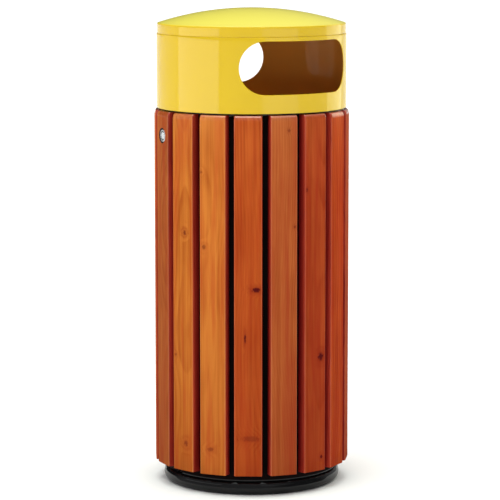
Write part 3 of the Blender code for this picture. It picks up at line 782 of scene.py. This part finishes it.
def make_hood():
    shell = finish_mesh("hood_shell_fine", hood_shell_mesh(), (YELLOW, INSIDE), sharp=40)
    set_turned_normals(shell)
    stands_for(link("hood_shell_fine", shell), "hood_shell")

    shoulder = LID_SHOULDER_R
    reach = LID_R - shoulder
    rise = LID_TOP - (LID_SHOULDER + shoulder)
    dome_r = (reach**2 + rise**2) / (2 * rise)
    lift = LID_TOP - dome_r
    thick = HOOD_THICK
    tongue = HOOD_R - HOOD_THICK - LID_FIT
    bend, steps = 62, 8
    turns = [radians(bend - bend * k / steps) for k in range(steps + 1)]
    outline = dome_points(reach - 0.0006, 0, 40, dome_r, lift)
    outline += [(reach + shoulder * cos(a), LID_SHOULDER + shoulder * sin(a)) for a in turns]
    foot = fillet(
        [(LID_R, LID_SHOULDER - 0.002), (LID_R, LID_SEAM, 0.0006), (tongue, LID_SEAM, 0.0003),
         (tongue, LID_TONGUE, 0.0005), (tongue - thick, LID_TONGUE, 0.0005),
         (tongue - thick, LID_SEAM + 0.001, 0.001), (LID_R - thick, LID_SEAM + 0.003, 0.001),
         (LID_R - thick, LID_SHOULDER - 0.001, 0.002)],
        0.0005, 4, closed=False,
    )
    outline += foot
    outline += reversed(dome_points(LID_R - thick - 0.002, thick, 30, dome_r, lift))
    split_at = LID_SEAM - 0.001

    def is_inside(point):
        under = lift + sqrt(max(0.0, (dome_r - thick * 0.5) ** 2 - point.x**2))
        return point.x < tongue - 0.0001 and point.y < under - 0.0002 or point.y < split_at

    bm = lathe(outline, steps=180, closed=False, inside=is_inside)
    lid = finish_mesh("hood_lid_fine", bm, (YELLOW, INSIDE), sharp=40)
    stands_for(link("hood_lid_fine", lid), "hood_lid")


make_hood()


# ---------------------------------------------------------------- base, rings and liner
def hole_tool(radius, circle, bearing, low, high, chamfer):
    """A drill with a countersink's flare where it leaves each face."""
    past = 0.01
    flare = radius + chamfer + past
    outline = [(0.0, low - past), (flare, low - past), (radius, low + chamfer),
               (radius, high - chamfer), (flare, high + past), (0.0, high + past)]
    data = finish_mesh("drill", lathe(outline, steps=32, closed=False), ZINC)
    turn = Matrix.Rotation(radians(bearing), 4, "Z") @ Matrix.Translation((0, -circle, 0))
    return moved(data, turn)


def make_base():
    low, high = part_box("base_ring")[0].z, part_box("base_ring")[1].z
    bulge = [
        (0.1700, high), (0.1740, 0.0272), (0.1772, 0.0248), (0.1796, 0.0205), (0.1810, 0.0140),
        (0.1800, 0.0080), (0.1764, 0.0030), (0.1705, low),
    ]
    outline = [(0.1630, high, 0.0008)] + [(r, z, 0.006) for r, z in bulge]
    outline += [(0.1640, low, 0.001), (0.1600, 0.0030, 0.001), (0.150, 0.0030, 0.0006),
                (0.150, 0.009, 0.0006), (0.163, 0.009, 0.0006)]
    smooth = fillet(outline, 0.001, 5)
    shaped_piece("base_ring", lathe(smooth, steps=192), GLOSS)

    low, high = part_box("base_plate")[0].z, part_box("base_plate")[1].z
    plate = fillet([(0.010, high), (0.1627, high), (0.1627, low), (0.010, low)], 0.0006, 3)
    cuts = [hole_tool(PLATE_HOLE_R, PLATE_HOLE_CIRCLE, at, low, high, 0.0004) for at in DIAGONALS]
    shaped_piece("base_plate", lathe(plate), ZINC, cuts)


def make_rings():
    for node, inner, outer, coat, slot in (
        ("top_ring", 0.148, 0.177, BLACK, "frame_coat"),
        ("hood_flange", 0.150, 0.1912, YELLOW, "hood_coat"),
    ):
        low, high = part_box(node)[0].z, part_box(node)[1].z
        ring = fillet([(inner, high), (outer, high), (outer, low), (inner, low)], 0.0006, 3)
        cuts = [hole_tool(BOLT_HOLE_R, BOLT_CIRCLE, at, low, high, 0.0002) for at in DIAGONALS]
        shaped_piece(node, lathe(ring), coat, cuts)


make_base()
make_rings()


def make_liner():
    """The bucket's wall has two swaged beads, a folded floor edge and a wired rim."""
    low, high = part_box("liner_bucket")[0].z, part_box("liner_bucket")[1].z
    r_low, r_top, thick, bead = 0.148, 0.156, 0.0012, 0.003
    swages, swage_half, swage_deep = (0.20, 0.44), 0.008, 0.0022

    def wall(z):
        t = (z - low) / (high - low)
        swage = 0.0
        for middle in swages:
            off = abs(z - middle) / swage_half
            if off < 1:
                swage += swage_deep * (0.5 + 0.5 * cos(pi * off))
        return r_low + (r_top - r_low) * t - swage

    steps = 110
    first, last = low + 0.004, high - 2 * bead - 0.002
    heights = [first + (last - first) * k / steps for k in range(steps + 1)]
    bottom, corner = low + thick, r_low - thick
    inside = [(0.0, bottom), (corner - 0.004, bottom), (corner - 0.001, bottom + 0.001)]
    inside += [(wall(z) - thick, z) for z in heights]
    centre = (r_top + bead - thick, high - bead)
    rim_start, rim_turn, rim_steps = 165, 300, 18
    turns = [radians(rim_start - rim_turn * k / rim_steps) for k in range(rim_steps + 1)]
    rim = [(centre[0] + bead * cos(a), centre[1] + bead * sin(a)) for a in turns]
    outside = [(wall(z), z) for z in reversed(heights)]
    outside += [(r_low - 0.0005, low + 0.0012), (r_low - 0.002, low), (r_low - 0.012, low),
                (r_low - 0.016, low + 0.0006), (0.0, low + 0.0006)]
    bm = lathe(inside + rim + outside, steps=160, closed=False)
    shaped_piece("liner_bucket", bm, GALVANISED)


make_liner()


# ---------------------------------------------------------------- carcass and door frames
def rolled(node, outer, thick, low, high, start, end, coat, cuts=()):
    """Rolled sheet or bar with broken edges."""
    inner = outer - thick
    corners = [(outer, high), (outer, low), (inner, low), (inner, high)]
    outline = fillet(corners, min(0.0008, thick * 0.45), 3)
    steps = max(8, ceil((end - start) / 2.0))
    bm = lathe(outline, steps=steps, start=start, span=end - start)
    shaped_piece(node, bm, coat, cuts)


def make_frames():
    edge = degrees(SHELL_EDGE / SHELL_R)
    spans = {"carcass": (-SPLIT + edge, SPLIT - edge), "door": (SPLIT + edge, 360 - SPLIT - edge)}
    for frame_name, (start, end) in spans.items():
        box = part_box(f"{frame_name}_shell")
        cuts = []
        if frame_name == "door":
            clear = SHELL_R + 0.0125
            outline = [
                (LOCK_BORE_R, LOCK_BORE_IN), (LOCK_BORE_R, clear), (0.0, clear), (0.0, LOCK_BORE_IN),
            ]
            bore = finish_mesh("bore", lathe(outline, 32, closed=False), BLACK)
            cuts = [moved(bore, lock_axis())]
        rolled(f"{frame_name}_shell", SHELL_R, SHELL_THICK, box[0].z, box[1].z, start, end,
               MATT, cuts)
        for level in ("lower", "upper"):
            node = f"{frame_name}_hoop_{level}"
            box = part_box(node)
            rolled(node, HOOP_R, HOOP_THICK, box[0].z, box[1].z, start, end, BLACK)


make_frames()


# ---------------------------------------------------------------- pieces refined from the frame
for name in ("carcass_post_hinge", "carcass_post_lock", "door_stile_hinge", "door_stile_lock"):
    refine(name, BLACK, 0.0008)
for place in ("lower", "upper"):
    for side in ("carcass", "door"):
        refine(f"hinge_leaf_{side}_{place}", ZINC)
    refine(f"hinge_pin_{place}", ZINC)
for name in ("lock_keeper", "lock_cam", "cam_screw", "lock_nut"):
    refine(name, ZINC)
for number in range(1, 5):
    refine(f"hood_bolt_{number}", ZINC)
for number in range(1, 4):
    refine(f"liner_pad_{number}", RUBBER, 0.0012)
for side in ("left", "right"):
    refine(f"liner_ear_{side}", GALVANISED)
refine("lock_plug", CHROME)


def make_barrel():
    """The lock's barrel: a rounded rim, a groove inside it coloured black as painted shade, and a lip
    round the plug.
    """
    floor = SLAT_FACE - RECESS_DEEP
    outline = fillet(
        [(0.0070, 0.1660), (0.0090, 0.1660), (0.0090, floor + 0.0003), (0.0125, floor + 0.0003),
         (0.0125, floor + 0.0028, 0.0010), (0.0102, floor + 0.0028, 0.0005),
         (0.0101, floor + 0.0012, 0), (0.0081, floor + 0.0012, 0),
         (0.0080, floor + 0.0025, 0.0003), (0.0070, floor + 0.0025, 0.0002)],
        0.0002, 3,
    )

    # the groove's faces take the black coat: painted shade in the groove
    def in_groove(middle):
        return 0.0080 < middle.x < 0.0102 and floor + 0.0010 < middle.y < floor + 0.0022

    bm = lathe(outline, steps=72, inside=in_groove)
    data = finish_mesh("lock_barrel_fine", bm, (CHROME, BLACK))
    moved(data, lock_axis())
    stands_for(link("lock_barrel_fine", data), "lock_barrel")


make_barrel()


# ---------------------------------------------------------------- bail
def make_bail():
    """Wire hooked through both ears, with a straight middle that carries a ribbed grip."""
    rise_start, rise_end, rise_steps = 6.0, degrees(atan2(GRIP_Y, GRIP_HALF)), 40
    rise = (rise_end - rise_start) / rise_steps
    side = [radians(rise_start + rise * k) for k in range(rise_steps + 1)]
    half = [(EAR_OUT + 0.0055, 0.0), (EAR_IN - 0.0025, 0.0), (BAIL_R - 0.0001, 0.0045)]
    half += [(BAIL_R * cos(a), BAIL_R * sin(a)) for a in side]
    points = half + [(-x, y) for x, y in reversed(half)]
    curve = bpy.data.curves.new("bail_wire_fine", "CURVE")
    curve.dimensions = "3D"
    curve.bevel_depth = BAIL_WIRE_R
    curve.bevel_resolution = 6
    curve.use_fill_caps = True
    spline = curve.splines.new("POLY")
    spline.points.add(len(points) - 1)
    for point, (x, y) in zip(spline.points, points):
        point.co = (x, y, BAIL_Z, 1)
    holder = link("bail_curve", curve)
    data = bpy.data.meshes.new_from_object(holder.evaluated_get(bpy.context.evaluated_depsgraph_get()))
    bpy.data.objects.remove(holder)
    bm = bmesh.new()
    bm.from_mesh(data)
    data = finish_mesh("bail_wire_fine", bm, ZINC)
    stands_for(link("bail_wire_fine", data), "bail_wire")

    ribs, rib_steps, rib_deep = 12, 6, 0.0006
    plain, end_r, end_slope = 0.004, GRIP_R - 0.002, GRIP_HALF - 0.0015
    ribbed = GRIP_HALF - plain
    bore = BAIL_WIRE_R + 0.0006
    outline = [(bore, -GRIP_HALF), (end_r, -GRIP_HALF), (GRIP_R - rib_deep, -end_slope)]
    for k in range(ribs * rib_steps + 1):
        x = -ribbed + 2 * ribbed * k / (ribs * rib_steps)
        outline.append((GRIP_R - rib_deep * (0.5 - 0.5 * cos(2 * pi * k / rib_steps)), x))
    outline += [(GRIP_R - rib_deep, end_slope), (end_r, GRIP_HALF), (bore, GRIP_HALF)]
    turn = Matrix.Translation((0, GRIP_Y, BAIL_Z)) @ Matrix.Rotation(radians(90), 4, "Y")
    shaped_piece("bail_grip", lathe(outline, steps=48), GRIP, place=turn)


make_bail()


# ---------------------------------------------------------------- screws that hold the slats
def screw_bm(bm, radius, high, matrix):
    """A button head with a hexagon socket, its base on the local origin and its top at +Z."""
    socket, depth, six = radius * 0.46, high * 0.3, 6
    profile = [(0.0, 0.0, 0), (radius, 0.0, 0), (radius, high * 0.25, 0),
               (radius * 0.86, high * 0.72, 0), (radius * 0.6, high, 0),
               (socket, high, six), (socket, depth, six), (0.0, depth, six)]
    outline, sides = [point[:2] for point in profile], [point[2] for point in profile]
    head = lathe(outline, steps=24, closed=False, sides=sides)
    bmesh.ops.transform(head, matrix=matrix, verts=head.verts)
    spare = bpy.data.meshes.new("spare")
    head.to_mesh(spare)
    head.free()
    bm.from_mesh(spare)
    bpy.data.meshes.remove(spare)


def make_screws():
    inner_hoop = HOOP_R - HOOP_THICK
    inner_shell = SHELL_R - SHELL_THICK
    for frame_name, first, last in (("carcass", 0, FIXED_SLATS), ("door", FIXED_SLATS, SLAT_COUNT)):
        bm = bmesh.new()
        for index in range(first, last):
            bearing = -SPLIT + SLAT_PITCH * (index + 0.5)
            top = LOCK_SLAT_SCREW_TOP if index == SLAT_COUNT - 1 else SCREW_TOP
            for height, radius in ((SCREW_LOW, inner_hoop), (SCREW_MID, inner_shell), (top, inner_hoop)):
                place = (
                    Matrix.Rotation(radians(bearing), 4, "Z")
                    @ Matrix.Translation((0, -radius, height))
                    @ Matrix.Rotation(radians(-90), 4, "X")
                )
                screw_bm(bm, SCREW_R, SCREW_HEAD, place)
        data = finish_mesh(f"{frame_name}_slat_screws", bm, ZINC)
        piece = link(f"{frame_name}_slat_screws", data)
        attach(piece, frame_name)


make_screws()


# ---------------------------------------------------------------- floor and light
FLOOR_R = 60
SKY_LEVEL = 0.50
# turn and lean of each lobe's middle, as camera_side takes them, and what it adds to the sky
SKY_LOBES = ((-150, 80, -0.47), (75, 85, -0.38), (0, 0, 1.9))
LOBE_EDGE, LOBE_FULL = 0.62, 0.95  # cosines of the angle from its middle


def make_floor():
    bm = bmesh.new()
    bmesh.ops.create_circle(bm, cap_ends=True, segments=96, radius=FLOOR_R)
    g = Graph("floor", Roughness=0.7)
    at = g.place()
    g.to("Base Color", g.mix(g.noise(at, 1.5, 3), (0.86, 0.86, 0.86), (0.90, 0.90, 0.90)))
    floor = link("floor", finish_mesh("floor", bm, g.material))
    floor.location.z = -0.0002


def area_light(name, turn, away, height, aim, size, power, colour=(1, 1, 1), shows_in="both"):
    """A soft box at an angle about Z counted from the camera's direction towards its left.
    It lights matt surfaces, shows in gloss, or both."""
    data = bpy.data.lights.new(name, "AREA")
    data.shape = "RECTANGLE"
    data.size, data.size_y = size
    data.energy = power
    data.color = colour
    light = bpy.data.objects.new(name, data)
    a = radians(CAMERA_TURN - turn)
    light.location = (away * sin(a), -away * cos(a), height)
    light.rotation_euler = (Vector((0, 0, aim)) - light.location).to_track_quat("-Z", "Y").to_euler()
    light.visible_camera = False
    light.visible_glossy = shows_in != "matt"
    light.visible_diffuse = shows_in != "gloss"
    scene.collection.objects.link(light)


def camera_side(turn, lean):
    """A direction at an angle to the camera's right, and leaning down from the zenith."""
    a = radians(CAMERA_TURN + turn)
    return Vector((sin(radians(lean)) * sin(a), -sin(radians(lean)) * cos(a), cos(radians(lean))))


def make_sky():
    """An even white sky, dimmer low down on two sides and brighter overhead."""
    world = bpy.data.worlds.new("studio")
    world.use_nodes = True
    tree = world.node_tree
    ground = tree.nodes["Background"]
    ground.inputs["Color"].default_value = (1.0, 1.0, 1.0, 1)
    where = tree.nodes.new("ShaderNodeTexCoord").outputs["Generated"]
    start = tree.nodes.new("ShaderNodeValue")
    start.outputs[0].default_value = SKY_LEVEL
    level = start.outputs[0]
    for turn, lean, gain in SKY_LOBES:
        dot = tree.nodes.new("ShaderNodeVectorMath")
        dot.operation = "DOT_PRODUCT"
        dot.inputs[1].default_value = camera_side(turn, lean)
        tree.links.new(where, dot.inputs[0])
        lobe = tree.nodes.new("ShaderNodeMapRange")
        lobe.interpolation_type = "SMOOTHSTEP"
        lobe.inputs["From Min"].default_value = LOBE_EDGE
        lobe.inputs["From Max"].default_value = LOBE_FULL
        lobe.inputs["To Max"].default_value = gain
        tree.links.new(dot.outputs["Value"], lobe.inputs["Value"])
        total = tree.nodes.new("ShaderNodeMath")
        total.operation = "ADD"
        tree.links.new(lobe.outputs[0], total.inputs[0])
        tree.links.new(level, total.inputs[1])
        level = total.outputs[0]
    tree.links.new(level, ground.inputs["Strength"])
    scene.world = world


def make_sun():
    data = bpy.data.lights.new("sun", "SUN")
    data.energy = 1.3
    data.color = (0.90, 1.0, 0.88)
    data.angle = radians(40)
    sun = bpy.data.objects.new("sun", data)
    sun.rotation_euler = (-camera_side(-35, 14)).to_track_quat("-Z", "Y").to_euler()
    scene.collection.objects.link(sun)


def make_soft_boxes():
    level = {"away": 2.2, "height": 0.70, "aim": 0.70}
    area_light("key", turn=67, size=(2.4, 0.34), power=5.9, **level)
    area_light("fill", turn=108, size=(1.0, 0.34), power=1.8, shows_in="matt", **level)
    area_light("strip", turn=-34, size=(1.75, 0.34), power=2.1, shows_in="gloss", **level)
    area_light("rim", turn=-115, away=1.3, height=1.05, aim=0.95, size=(0.85, 0.8), power=4.5,
               colour=(0.93, 1.0, 0.75))


make_floor()
make_sky()
make_sun()
make_soft_boxes()
scene.view_settings.view_transform = "Standard"
scene.view_settings.look = "None"
